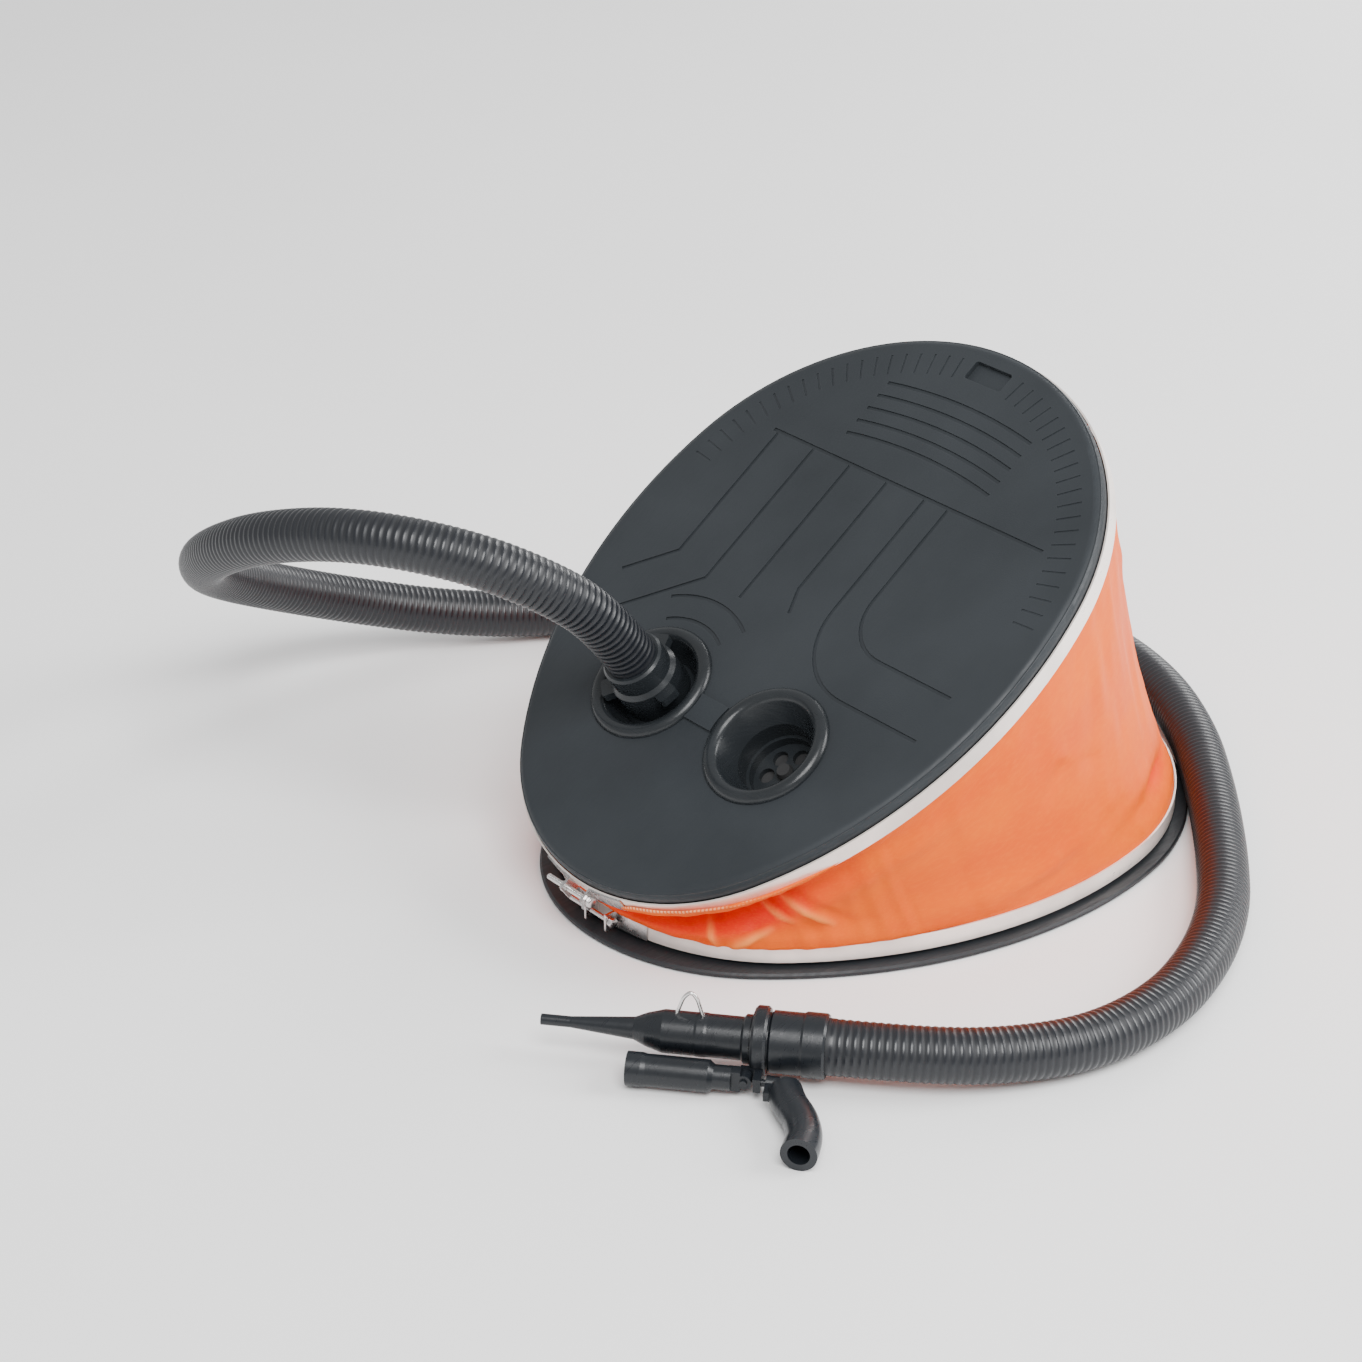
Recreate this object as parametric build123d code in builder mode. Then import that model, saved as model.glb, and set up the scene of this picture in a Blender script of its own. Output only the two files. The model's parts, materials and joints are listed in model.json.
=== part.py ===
"""Foot air pump: two oval plates hinged at one end, joined by a fabric bellows, with a corrugated hose.

Frame: millimetres, +X from the hinge end to the open end, +Y to the side of the hose port, +Z up.
The origin is on the floor under the middle of the base. The pump stands open, as it does unloaded.
"""
import os
from math import atan2, cos, pi, radians, sin, tan

from build123d import *

# ---- driving dimensions of the two oval plates ----
half_length = 150.0
half_width = 120.0
side_radius = 205.0  # long side arcs
side_centre_x = 14.0  # where the side arcs are widest, a little towards the open end
toe = 4.0  # how much further the base's floor flange runs at the hinge end

# ---- heights, with the pedal pressed flat ----
pad_height = 1.0
base_top = 13.0
pedal_top = 48.0

# ---- hinge ----
hinge_x = -138.0
hinge_z = 12.0
open_angle = 34.0
pin_radius = 3.0
pin_clearance = 0.05
knuckle_radius = 6.0
ear_outer = 24.0
ear_inner = 16.0
arm_inner = 8.0
arm_gap = 0.2
arm_width = 8.0
clip_radius = 4.2
clip_thickness = 1.0
clip_gap = 0.2

# ---- walls ----
wall = 3.0
wall_inset = 0.8  # plate outline to the face that the fabric is clamped on
fabric = 0.9
gap = 0.15  # between the fabric and what it touches
floor_thickness = 3.0
flange_thickness = 2.0
flange_grow = 7.0
pedal_thickness = 4.0
rim_depth = 5.5
edge_round = 4.0
skirt_depth = 14.0
rib_height = 4.0
rib_width = 2.0
overlap = 0.5  # how far an added rib or boss runs into what it stands on
rib_places = (-84, -56, -28, 28, 56, 84)
cross_rib_places = (-80, 80)

# ---- clamping bands ----
band_width = 8.0
band_thickness = 0.8
half_gap = 6.0  # from the middle line to either end of a band
bracket_reach = 24.0
lug_thickness = 1.2
lug_height = 6.4  # how far a lug stands out from the band
bolt_radius = 1.3
bolt_stand_off = 3.8  # from the band to the bolt's axis
bolt_tail = 20.0
bolt_head = 2.2
nut_thickness = 2.2
nut_radius = 2.5

# ---- rubber pads ----
pad_places = [(-128, 0), (-60, 84), (-60, -84), (88, 84), (88, -84), (0, 0)]
pad_radius = 11.0
pad_recess = 1.2

# ---- ports ----
port_u = -61.0
port_v = 37.0
lip_radius = 29.0
lip_height = 3.2
mouth_radius = 22.0
cup_radius = 22.9
cup_wall = 2.5
bore_radius = 17.0
bore_top = -9.0
shoulder = -17.5  # the bore for a cuff ends here, above the valve's well
bore_bottom = -22.0
well_radius = 15.5
cup_floor = 2.5
air_hole_radius = 3.6
air_hole_circle = 9.5
bridge_width = 13.0
bridge_height = 1.5

# ---- valves ----
valve_travel = 2.0
valve_gap = 0.05
stem_radius = 2.0
stem_head_radius = 3.8
disc_radius = 14.5
disc_thickness = 1.5

# ---- return spring ----
spring_wire = 3.0
spring_radius = 22.0
spring_turns = 8
steps_per_turn = 8
spring_reach = 148.0  # from the hinge to the middle of the spring
seat_room = 3.5
peg_room = 2.5

# ---- tread ----
groove_width = 1.8
groove_depth = 0.7
groove_pitch = 23.4
rear_groove_u = 71.0
tick_radii = (98.0, 109.0)
tick_centre_u = 32.0
tick_count = 45
latch_u = 135.8
latch_size = (10.0, 22.0)
latch_depth = 2.5

# ---- hose ----
hose_diameter = 23.0
hose_bore = 18.0
cuff_top = 20.0  # the hose starts this far above the pedal
cuff_radius = 15.5
collar_radius = 13.8
grip_reach = 19.5
grip_width = 9.0
grip_height = 4.0
first_run = 28.0  # straight out of the cuff
nozzle_height = 15.5
hose_end = (-155.0, -142.0, nozzle_height)
nozzle_heading = 129.5  # degrees from +X, the way the nozzle points
last_run = 34.0  # straight into the nozzle set's cuff

# ---- nozzle set ----
cuff_length = 30.0
socket_radius = 9.0
socket_depth = 19.0
fit_clearance = 0.05
ring_radius = 14.0
ring_inner = 11.5
tip_radius = 2.3
tip_length = 12.0
tip_bore = 1.4
nozzle_length = 116.0
loop_wire = 1.6
nozzle_radius = 8.8
nozzle_collar = 10.0
end_cuff_radius = 12.6
end_cuff_bead = 13.2
ring_start = 23.5
ring_end = 29.5

# ---- spare adapters, beside the nozzle and below its axis ----
pivot_rise = -8.0
pivot_radius = 1.5
pivot_eye = 3.2
pivot_plate = 5.0  # thickness of an adapter's eye
wide_pivot_along = 31.0
wide_side = -16.5
wide_radius = 6.6
wide_mouth = 7.0
wide_bore = 5.5
curved_pivot_along = 25.0
curved_side = -17.5
curved_radius = 7.2
curved_bore = 4.5
curved_flare = 7.4


def opened(angle):
    """The pedal's top plane, turned up from the pressed position about the hinge."""
    a = radians(angle)
    reach = -hinge_x
    rise = pedal_top - hinge_z
    origin = (hinge_x + reach * cos(a) - rise * sin(a), 0, hinge_z + reach * sin(a) + rise * cos(a))
    return Plane(origin=origin, x_dir=(cos(a), 0, sin(a)), z_dir=(-sin(a), 0, cos(a)))


pedal = opened(open_angle)
hinge_w = hinge_z - pedal_top  # the hinge, measured from the pedal's top plane
wall_grow = -wall_inset
inner_grow = -wall_inset - wall
fabric_in = wall_grow + gap
fabric_out = fabric_in + fabric
band_in = fabric_out + gap
band_out = band_in + band_thickness
floor_top = pad_height + floor_thickness
spring_x = hinge_x + spring_reach


def across(plane, v=0.0, u=0.0):
    """A plane square to the hinge: its x runs along a plate, its y stands up from the plate."""
    return Plane(origin=plane.from_local_coords(Vector(u, v, 0)), x_dir=plane.x_dir, z_dir=(0, -1, 0))


def draw_oval(grow=0.0, front_extra=0.0, mode=Mode.ADD):
    """Egg-shaped plate outline of four tangent arcs, grown by an offset, in the current sketch."""
    side_centre_y = side_radius - half_width
    corners = []
    tips = []
    for sign, reach in ((-1, half_length + side_centre_x + front_extra), (1, half_length - side_centre_x)):
        end_radius = (side_radius**2 - side_centre_y**2 - reach**2) / (2 * (side_radius - reach))
        lean = atan2(side_centre_y, sign * (reach - end_radius))
        corner_x = side_centre_x + (side_radius + grow) * cos(lean)
        corners.append((corner_x, (side_radius + grow) * sin(lean) - side_centre_y))
        tips.append((side_centre_x + sign * (reach + grow), 0))
    (fx, fy), (rx, ry) = corners
    with BuildLine() as outline:
        ThreePointArc((fx, -fy), tips[0], (fx, fy))
        ThreePointArc((fx, fy), (side_centre_x, half_width + grow), (rx, ry))
        ThreePointArc((rx, ry), tips[1], (rx, -ry))
        ThreePointArc((rx, -ry), (side_centre_x, -half_width - grow), (fx, -fy))
    make_face(outline.edges(), mode=mode)


def draw_ring(outer, inner):
    draw_oval(outer)
    draw_oval(inner, mode=Mode.SUBTRACT)


def turned(plane, outline, mode=Mode.ADD):
    """Revolve an outline of (radius, height) corners about the plane's upright axis."""
    with BuildSketch(plane) as profile:
        with BuildLine():
            Polyline(*outline, close=True)
        make_face()
    revolve(profile.sketch, axis=Axis(plane.origin, plane.y_dir), mode=mode)


def bend_radii(points):
    """Largest practical radius at each inner point of a route: 0.45 of its shorter run."""
    vectors = [Vector(*p) for p in points]
    radii = []
    for before, here, after in zip(vectors, vectors[1:], vectors[2:]):
        run_in = here - before
        run_out = after - here
        half_turn = radians(run_in.get_angle(run_out)) / 2
        radii.append(0.45 * min(run_in.length, run_out.length) / tan(half_turn))
    return radii


def save(piece, name):
    piece.part.label = name
    export_step(piece.part, f"parts/{name}.step")


os.makedirs("parts", exist_ok=True)

# ======================================================================================
# Base
# ======================================================================================
peg_radius = spring_radius - spring_wire / 2 - peg_room
seat_radius = spring_radius + spring_wire / 2 + seat_room


def draw_ribs():
    """Stiffening ribs of a plate, clear of the hinge and the spring's seat, in the current sketch."""
    for y in rib_places:
        with Locations((0, y)):
            Rectangle(2 * half_length, rib_width)
    for x in cross_rib_places:
        with Locations((x, 0)):
            Rectangle(rib_width, 2 * half_width)
    draw_oval(inner_grow + 1, mode=Mode.INTERSECT)
    with Locations((spring_x, 0)):
        Circle(seat_radius, mode=Mode.SUBTRACT)
    with Locations((hinge_x, 0)):
        Rectangle(3 * knuckle_radius, 2 * ear_outer + 6, mode=Mode.SUBTRACT)


def draw_seat():
    """Ring round the spring's end coil and ring inside it, in the current sketch."""
    with Locations((spring_x, 0)):
        Circle(seat_radius + 2)
        Circle(seat_radius, mode=Mode.SUBTRACT)
        Circle(peg_radius)
        Circle(peg_radius - 2, mode=Mode.SUBTRACT)


with BuildPart() as base_plate:
    with BuildSketch(Plane.XY.offset(pad_height)):
        draw_oval(flange_grow, toe)
    extrude(amount=flange_thickness)
    chamfer(base_plate.faces().sort_by(Axis.Z)[-1].edges(), 0.8)
    with BuildSketch(Plane.XY.offset(pad_height)):
        draw_oval(wall_grow)
    extrude(amount=base_top - pad_height)
    with BuildSketch(Plane.XY.offset(floor_top)):
        draw_oval(inner_grow)
    extrude(amount=base_top, mode=Mode.SUBTRACT)
    with BuildSketch(Plane.XY.offset(floor_top - overlap)):
        draw_ribs()
    extrude(amount=rib_height + overlap)
    with BuildSketch(Plane.XY.offset(floor_top - overlap)):
        draw_seat()
    extrude(amount=2 * rib_height)
    for y in (ear_outer, -ear_inner):
        with BuildSketch(across(Plane.XY, y)):
            with Locations((hinge_x, hinge_z)):
                Circle(knuckle_radius)
            with Locations((hinge_x, (hinge_z + floor_top - overlap) / 2)):
                Rectangle(2 * knuckle_radius, hinge_z - floor_top + overlap)
        extrude(amount=ear_outer - ear_inner)
    with BuildSketch(across(Plane.XY, half_width)):
        with Locations((hinge_x, hinge_z)):
            Circle(pin_radius + pin_clearance)
    extrude(amount=2 * half_width, mode=Mode.SUBTRACT)
    with BuildSketch(Plane.XY.offset(pad_height)):
        with Locations(*pad_places):
            Circle(pad_radius)
    extrude(amount=pad_recess, mode=Mode.SUBTRACT)
save(base_plate, "base_plate")

with BuildPart() as base_pads:
    with BuildSketch():
        with Locations(*pad_places):
            Circle(pad_radius)
    extrude(amount=pad_height + pad_recess)
save(base_pads, "base_pads")

with BuildPart() as hinge_pin:
    with BuildSketch(across(Plane.XY, ear_outer + 2)):
        with Locations((hinge_x, hinge_z)):
            Circle(pin_radius)
    extrude(amount=2 * ear_outer + 4)
    chamfer(hinge_pin.edges().filter_by(GeomType.CIRCLE), 0.6)
save(hinge_pin, "hinge_pin")

with BuildPart() as hinge_clips:
    for y in (ear_outer + clip_gap + clip_thickness, -ear_outer - clip_gap):
        with BuildSketch(across(Plane.XY, y)):
            with Locations((hinge_x, hinge_z)):
                Circle(clip_radius)
                Circle(pin_radius, mode=Mode.SUBTRACT)
        extrude(amount=clip_thickness)
save(hinge_clips, "hinge_clips")


def coil_point(step):
    """A corner of the coil, whose middle line curves about the hinge from one plate to the other."""
    turn = step / steps_per_turn
    climb = min(max((turn - 0.75) / (spring_turns - 1.5), 0), 1)
    lift = spring_wire / 2 + 0.1
    low = Vector(spring_x - hinge_x, 0, floor_top + lift - hinge_z)
    high = Vector(spring_x - hinge_x, 0, -pedal_thickness - lift - hinge_w)
    reach = low.length + climb * (high.length - low.length)
    start = atan2(low.Z, low.X)
    end = atan2(high.Z, high.X) + radians(open_angle)
    angle = start + climb * (end - start)
    tilt = climb * radians(open_angle)
    out = spring_radius * cos(2 * pi * turn)
    side = spring_radius * sin(2 * pi * turn)
    x = hinge_x + reach * cos(angle) + out * cos(tilt)
    z = hinge_z + reach * sin(angle) + out * sin(tilt)
    return (x, side, z)


coil_points = [coil_point(step) for step in range(spring_turns * steps_per_turn + 1)]
with BuildPart() as return_spring:
    with BuildLine() as coil_line:
        FilletPolyline(*coil_points, radius=bend_radii(coil_points))
    with BuildSketch(Plane(origin=coil_line.line @ 0, z_dir=coil_line.line % 0)):
        Circle(spring_wire / 2)
    sweep()
save(return_spring, "return_spring")

with BuildPart() as bellows:
    for grow, mode in ((fabric_out, Mode.ADD), (fabric_in, Mode.SUBTRACT)):
        with BuildSketch(Plane.XY.offset(base_top)):
            draw_oval(grow)
        with BuildSketch(pedal.offset(-skirt_depth)):
            draw_oval(grow)
        loft(ruled=True, mode=mode)
    with BuildSketch(Plane.XY.offset(base_top)):
        draw_ring(fabric_out, fabric_in)
    extrude(amount=-band_width)
    with BuildSketch(pedal.offset(-skirt_depth)):
        draw_ring(fabric_out, fabric_in)
    extrude(amount=band_width)
save(bellows, "bellows")

# ======================================================================================
# Clamping bands: the same set of pieces for both plates
# ======================================================================================
for prefix, top in (("lower", Plane.XY.offset(base_top)), ("upper", pedal.offset(-skirt_depth + band_width))):
    with BuildPart() as band:
        with BuildSketch(top):
            draw_ring(band_out, band_in)
            with Locations((-half_length, 0)):
                Rectangle(half_length, 2 * half_gap, mode=Mode.SUBTRACT)
        extrude(amount=-band_width)
    save(band, f"{prefix}_band")

    with BuildPart() as tongue:
        with BuildSketch(top):
            draw_ring(band_in + band_thickness / 2, band_in)
            with Locations((-half_length, 0)):
                Rectangle(half_length, 2 * half_gap - 0.4, mode=Mode.INTERSECT)
        extrude(amount=-band_width)
    save(tongue, f"{prefix}_band_tongue")

    band_face = -half_length - band_out
    bolt_u = band_face - bolt_stand_off
    with BuildPart() as brackets:
        with BuildSketch(top):
            draw_ring(band_out + band_thickness, band_out)
            with Locations((-half_length, 0)):
                Rectangle(half_length, 2 * bracket_reach, mode=Mode.INTERSECT)
            with Locations((-half_length, 0)):
                Rectangle(half_length, 2 * half_gap, mode=Mode.SUBTRACT)
            for side in (-1, 1):
                with Locations((band_face - lug_height / 2, side * (half_gap + lug_thickness / 2))):
                    Rectangle(lug_height, lug_thickness)
        extrude(amount=-band_width)
        with BuildSketch(across(top, 2 * half_gap)):
            with Locations((bolt_u, -band_width / 2)):
                Circle(bolt_radius + pin_clearance)
        extrude(amount=4 * half_gap, mode=Mode.SUBTRACT)
    save(brackets, f"{prefix}_band_brackets")

    lug_face = half_gap + lug_thickness
    with BuildPart() as bolt:
        with BuildSketch(across(top, bolt_tail)):
            with Locations((bolt_u, -band_width / 2)):
                Circle(bolt_radius)
        extrude(amount=bolt_tail + lug_face)
        with BuildSketch(across(top, -lug_face)):
            with Locations((bolt_u, -band_width / 2)):
                RegularPolygon(nut_radius, 6)
        extrude(amount=bolt_head)
    save(bolt, f"{prefix}_clamp_bolt")

    with BuildPart() as nut:
        with BuildSketch(across(top, lug_face + nut_thickness)):
            with Locations((bolt_u, -band_width / 2)):
                RegularPolygon(nut_radius, 6)
                Circle(bolt_radius, mode=Mode.SUBTRACT)
        extrude(amount=nut_thickness)
    save(nut, f"{prefix}_clamp_nut")

# ======================================================================================
# Pedal
# ======================================================================================
port_places = [(port_u, port_v), (port_u, -port_v)]

with BuildPart() as pedal_plate:
    with BuildSketch(pedal.offset(-rim_depth)):
        draw_oval()
    extrude(amount=rim_depth)
    rim_edges = pedal_plate.edges().group_by(Axis(pedal.origin, pedal.z_dir))
    fillet(rim_edges[-1], edge_round)
    with BuildSketch(pedal.offset(-skirt_depth)):
        draw_oval(wall_grow)
    extrude(amount=skirt_depth - 1)
    with BuildSketch(pedal.offset(-skirt_depth)):
        draw_oval(inner_grow)
    extrude(amount=skirt_depth - pedal_thickness, mode=Mode.SUBTRACT)
    # ribs and the spring's seat under the plate
    with BuildSketch(pedal.offset(-pedal_thickness + overlap)):
        draw_ribs()
        with Locations(*port_places):
            Circle(cup_radius + 3, mode=Mode.SUBTRACT)
    extrude(amount=-rib_height - overlap)
    with BuildSketch(pedal.offset(-pedal_thickness + overlap)):
        draw_seat()
    extrude(amount=-2 * rib_height)
    # two hinge arms
    for v in (ear_inner - arm_gap, -arm_inner):
        with BuildSketch(across(pedal, v)):
            with Locations((hinge_x, hinge_w)):
                Circle(knuckle_radius)
            with Locations((hinge_x, (hinge_w - pedal_thickness) / 2)):
                Rectangle(arm_width, -hinge_w - pedal_thickness + 1)
        extrude(amount=ear_inner - arm_gap - arm_inner)
    with BuildSketch(across(pedal, half_width)):
        with Locations((hinge_x, hinge_w)):
            Circle(pin_radius + pin_clearance)
    extrude(amount=2 * half_width, mode=Mode.SUBTRACT)
    # raised bridge between the two ports
    with BuildSketch(pedal.offset(-overlap)):
        with Locations((port_u, 0)):
            Rectangle(bridge_width, port_v)
        with Locations(*port_places):
            Circle(lip_radius + 0.3, mode=Mode.SUBTRACT)
    extrude(amount=bridge_height + overlap)
    with BuildSketch(pedal.offset(-rim_depth)):
        with Locations(*port_places):
            Circle(cup_radius + 0.1)
    extrude(amount=2 * rim_depth, mode=Mode.SUBTRACT)
    # tread grooves
    with BuildSketch(pedal):
        with BuildLine():
            Line((rear_groove_u, 3.4 * groove_pitch), (rear_groove_u, -3.7 * groove_pitch))
            for row, (end_u, run_out) in enumerate(((-1, 20), (-7, 33))):
                v = (3.25 - row) * groove_pitch
                Polyline((rear_groove_u, v), (end_u, v), (end_u - run_out, v + run_out))
            Line((rear_groove_u, 1.25 * groove_pitch), (-8, 1.25 * groove_pitch))
            Polyline((rear_groove_u, 0.25 * groove_pitch), (8, 0.25 * groove_pitch), (-4, 1))
            wide_v = -0.75 * groove_pitch
            wide_u = -1.22 * groove_pitch
            FilletPolyline((rear_groove_u, wide_v), (wide_u, wide_v), (wide_u, -98), radius=1.5 * groove_pitch)
            narrow_v = -1.35 * groove_pitch
            narrow_u = -0.22 * groove_pitch
            FilletPolyline((rear_groove_u, narrow_v), (narrow_u, narrow_v), (narrow_u, -98), radius=groove_pitch)
            for radius in (lip_radius + 5, lip_radius + 17):
                CenterArc((port_u, port_v), radius, -30, 62)
            for row in range(5):
                u = 88 + 7.5 * row
                ThreePointArc((u - 4, -44), (u, 0), (u - 4, 44))
        trace(line_width=groove_width)
    extrude(amount=-groove_depth, mode=Mode.SUBTRACT)
    # short radial ticks round the open end
    with BuildSketch(pedal):
        with Locations((tick_centre_u, 0)):
            with PolarLocations(sum(tick_radii) / 2, tick_count, start_angle=-87, angular_range=174):
                Rectangle(tick_radii[1] - tick_radii[0], 1)
        with Locations((latch_u, 0)):
            Rectangle(3 * latch_size[0], latch_size[1] + 6, mode=Mode.SUBTRACT)
    extrude(amount=-groove_depth / 2, mode=Mode.SUBTRACT)
    # blind slot for a storage catch
    with BuildSketch(pedal):
        with Locations((latch_u, 0)):
            RectangleRounded(*latch_size, 1.5)
    extrude(amount=-latch_depth, mode=Mode.SUBTRACT)
save(pedal_plate, "pedal_plate")

# ======================================================================================
# Ports and valves
# ======================================================================================
cup_bottom = bore_bottom - cup_floor

for name, v in (("outlet_cup", port_v), ("inlet_cup", -port_v)):
    port = across(pedal, v, port_u)
    with BuildPart() as cup:
        with BuildSketch(port):
            with BuildLine():
                ThreePointArc((lip_radius, 0), ((lip_radius + mouth_radius) / 2, lip_height), (mouth_radius, 1))
                Polyline(
                    (mouth_radius, 1),
                    (bore_radius, bore_top),
                    (bore_radius, shoulder),
                    (well_radius, shoulder),
                    (well_radius, bore_bottom),
                    (0, bore_bottom),
                    (0, cup_bottom),
                    (bore_radius + cup_wall, cup_bottom),
                    (bore_radius + cup_wall, bore_top - 2),
                    (cup_radius, -pedal_thickness),
                    (cup_radius, 0),
                    (lip_radius, 0),
                )
            make_face()
        revolve(axis=Axis(port.origin, port.y_dir))
        with BuildSketch(Plane(origin=port.origin, x_dir=pedal.x_dir, z_dir=pedal.z_dir)):
            with PolarLocations(air_hole_circle, 6):
                Circle(air_hole_radius)
            Circle(stem_radius + valve_gap)
        extrude(amount=cup_bottom - 1, mode=Mode.SUBTRACT)
    save(cup, name)

disc_top = cup_bottom - valve_gap
inlet_head = bore_bottom + valve_travel + valve_gap
with BuildPart() as inlet_valve:
    turned(
        across(pedal, -port_v, port_u),
        [
            (0, disc_top - disc_thickness),
            (disc_radius, disc_top - disc_thickness),
            (disc_radius, disc_top),
            (stem_radius, disc_top),
            (stem_radius, inlet_head),
            (stem_head_radius, inlet_head),
            (stem_head_radius - 0.8, inlet_head + 2),
            (0, inlet_head + 2),
        ],
    )
save(inlet_valve, "inlet_valve")

disc_bottom = bore_bottom + valve_gap
outlet_head = cup_bottom - valve_travel - valve_gap
with BuildPart() as outlet_valve:
    turned(
        across(pedal, port_v, port_u),
        [
            (0, disc_bottom + disc_thickness),
            (disc_radius, disc_bottom + disc_thickness),
            (disc_radius, disc_bottom),
            (stem_radius, disc_bottom),
            (stem_radius, outlet_head),
            (stem_head_radius, outlet_head),
            (stem_head_radius - 0.8, outlet_head - 2),
            (0, outlet_head - 2),
        ],
    )
save(outlet_valve, "outlet_valve")

# ======================================================================================
# Hose and the cuff that plugs it into the outlet
# ======================================================================================
spigot_radius = bore_radius - fit_clearance
spigot_bottom = shoulder + 0.5
outlet = across(pedal, port_v, port_u)
with BuildPart() as hose_cuff:
    turned(
        outlet,
        [
            (hose_bore / 2, spigot_bottom),
            (spigot_radius, spigot_bottom),
            (spigot_radius, bore_top),
            (cuff_radius, bore_top + 1.5),
            (cuff_radius, 8),
            (collar_radius, 10),
            (collar_radius, cuff_top - 1),
            (collar_radius - 1, cuff_top),
            (hose_bore / 2, cuff_top),
        ],
    )
    with BuildSketch(Plane(origin=outlet.origin, x_dir=pedal.x_dir, z_dir=pedal.z_dir).offset(lip_height + 0.5)):
        with PolarLocations(cuff_radius + 1, 3, start_angle=20):
            RectangleRounded(2 * (grip_reach - cuff_radius), grip_width, 1.5)
        Circle(cuff_radius - 1, mode=Mode.SUBTRACT)
    extrude(amount=grip_height)
save(hose_cuff, "hose_cuff")

heading = Vector(cos(radians(nozzle_heading)), sin(radians(nozzle_heading)), 0)
hose_start = pedal.from_local_coords(Vector(port_u, port_v, cuff_top))
hose_points = [
    hose_start,
    hose_start + pedal.z_dir * first_run,
    (-144, 44, 145),
    (-173, 64, 162),
    (-202, 102, 167),
    (-215, 148, 153),
    (-214, 190, 130),
    (-199, 228, 104),
    (-170, 257, 78),
    (-130, 272, 53),
    (-86, 270, 32),
    (-44, 253, 18),
    (-4, 231, 12),
    (40, 206, 12),
    (83, 179, 12),
    (123, 149, 12),
    (158, 114, 12),
    (181, 71, 12),
    (187, 23, 12),
    (175, -24, 12),
    (150, -66, 12),
    (123, -98, 12),
    (99, -124, 12),
    (74, -149, 12),
    (46, -174, 12),
    (12, -194, 12),
    (-27, -207, 12),
    (-69, -206, 12),
    (-105.5, -190, 13.5),
    Vector(*hose_end) - heading * last_run,
    hose_end,
]
hose_radii = bend_radii(hose_points)
with BuildPart() as hose:
    with BuildLine() as hose_line:
        FilletPolyline(*hose_points, radius=hose_radii)
    with BuildSketch(Plane(origin=hose_start, z_dir=pedal.z_dir)):
        Circle(hose_diameter / 2)
        Circle(hose_bore / 2, mode=Mode.SUBTRACT)
    sweep()
save(hose, "hose")
hose_section = pi / 4 * (hose_diameter**2 - hose_bore**2)
hose_length = hose_line.wire().length
print("hose length", round(hose_length, 1))
print("hose radii", [round(r) for r in hose_radii])
print("hose volume against section times length", round(hose.part.volume / hose_section / hose_length, 4))

# ======================================================================================
# Nozzle set on the hose's end. Its planes: x stands up, y runs along the nozzle, from the hose's end.
# ======================================================================================
up = Vector(0, 0, 1)
nozzle = Plane(origin=hose_end, x_dir=up, z_dir=up.cross(heading))
aside = heading.cross(up)  # towards the pump


def nozzle_point(along, side, rise):
    return Vector(*hose_end) + heading * along + aside * side + up * rise


with BuildPart() as hose_end_cuff:
    turned(
        nozzle,
        [
            (hose_bore / 2, 0),
            (end_cuff_radius, 0),
            (end_cuff_bead, 1),
            (end_cuff_bead, 9),
            (end_cuff_radius, 10),
            (end_cuff_radius, ring_start - 1.5),
            (ring_inner, ring_start - 0.5),
            (ring_inner, cuff_length),
            (socket_radius, cuff_length),
            (socket_radius, cuff_length - socket_depth),
            (hose_bore / 2 - 2, cuff_length - socket_depth),
            (hose_bore / 2 - 2, 2),
            (hose_bore / 2, 2),
        ],
    )
save(hose_end_cuff, "hose_end_cuff")

# the snap ring carries two pivots, one for each spare adapter
along_plane = Plane(origin=nozzle_point(0, 0, pivot_rise), x_dir=heading, z_dir=up)

with BuildPart() as adapter_ring:
    turned(
        nozzle,
        [
            (ring_inner, ring_start),
            (ring_radius - 1, ring_start),
            (ring_radius, ring_start + 1),
            (ring_radius, ring_end - 1),
            (ring_radius - 1, ring_end),
            (ring_inner, ring_end),
        ],
    )
    with BuildSketch(along_plane.offset(-3)):
        with Locations((28.5, 12.3)):
            Rectangle(9, 2.6)
        with Locations((25.5, 15.75)):
            Rectangle(3, 9.5)
    extrude(amount=6)
    with BuildSketch(Plane(origin=nozzle_point(wide_pivot_along, wide_side + 3.5, pivot_rise), z_dir=-aside)):
        Circle(pivot_radius)
    extrude(amount=7)
    with BuildSketch(Plane(origin=nozzle_point(curved_pivot_along, curved_side, pivot_rise), z_dir=-heading)):
        Circle(pivot_radius)
    extrude(amount=10)
save(adapter_ring, "adapter_ring")

nozzle_spigot = socket_radius - fit_clearance
with BuildPart() as main_nozzle:
    turned(
        nozzle,
        [
            (tip_bore, cuff_length - socket_depth + 1),
            (nozzle_spigot, cuff_length - socket_depth + 1),
            (nozzle_spigot, cuff_length + 0.5),
            (nozzle_collar, cuff_length + 0.5),
            (nozzle_collar, cuff_length + 3),
            (nozzle_radius, cuff_length + 4),
            (nozzle_radius, 48),
            (nozzle_radius + 0.2, 49),
            (nozzle_radius + 0.2, 52),
            (nozzle_radius, 53),
            (nozzle_radius, 66),
            (nozzle_radius - 2, 73),
            (2 * tip_radius, 78),
            (tip_radius, nozzle_length - tip_length),
            (tip_radius, nozzle_length),
            (tip_bore, nozzle_length),
        ],
    )
save(main_nozzle, "main_nozzle")

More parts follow.
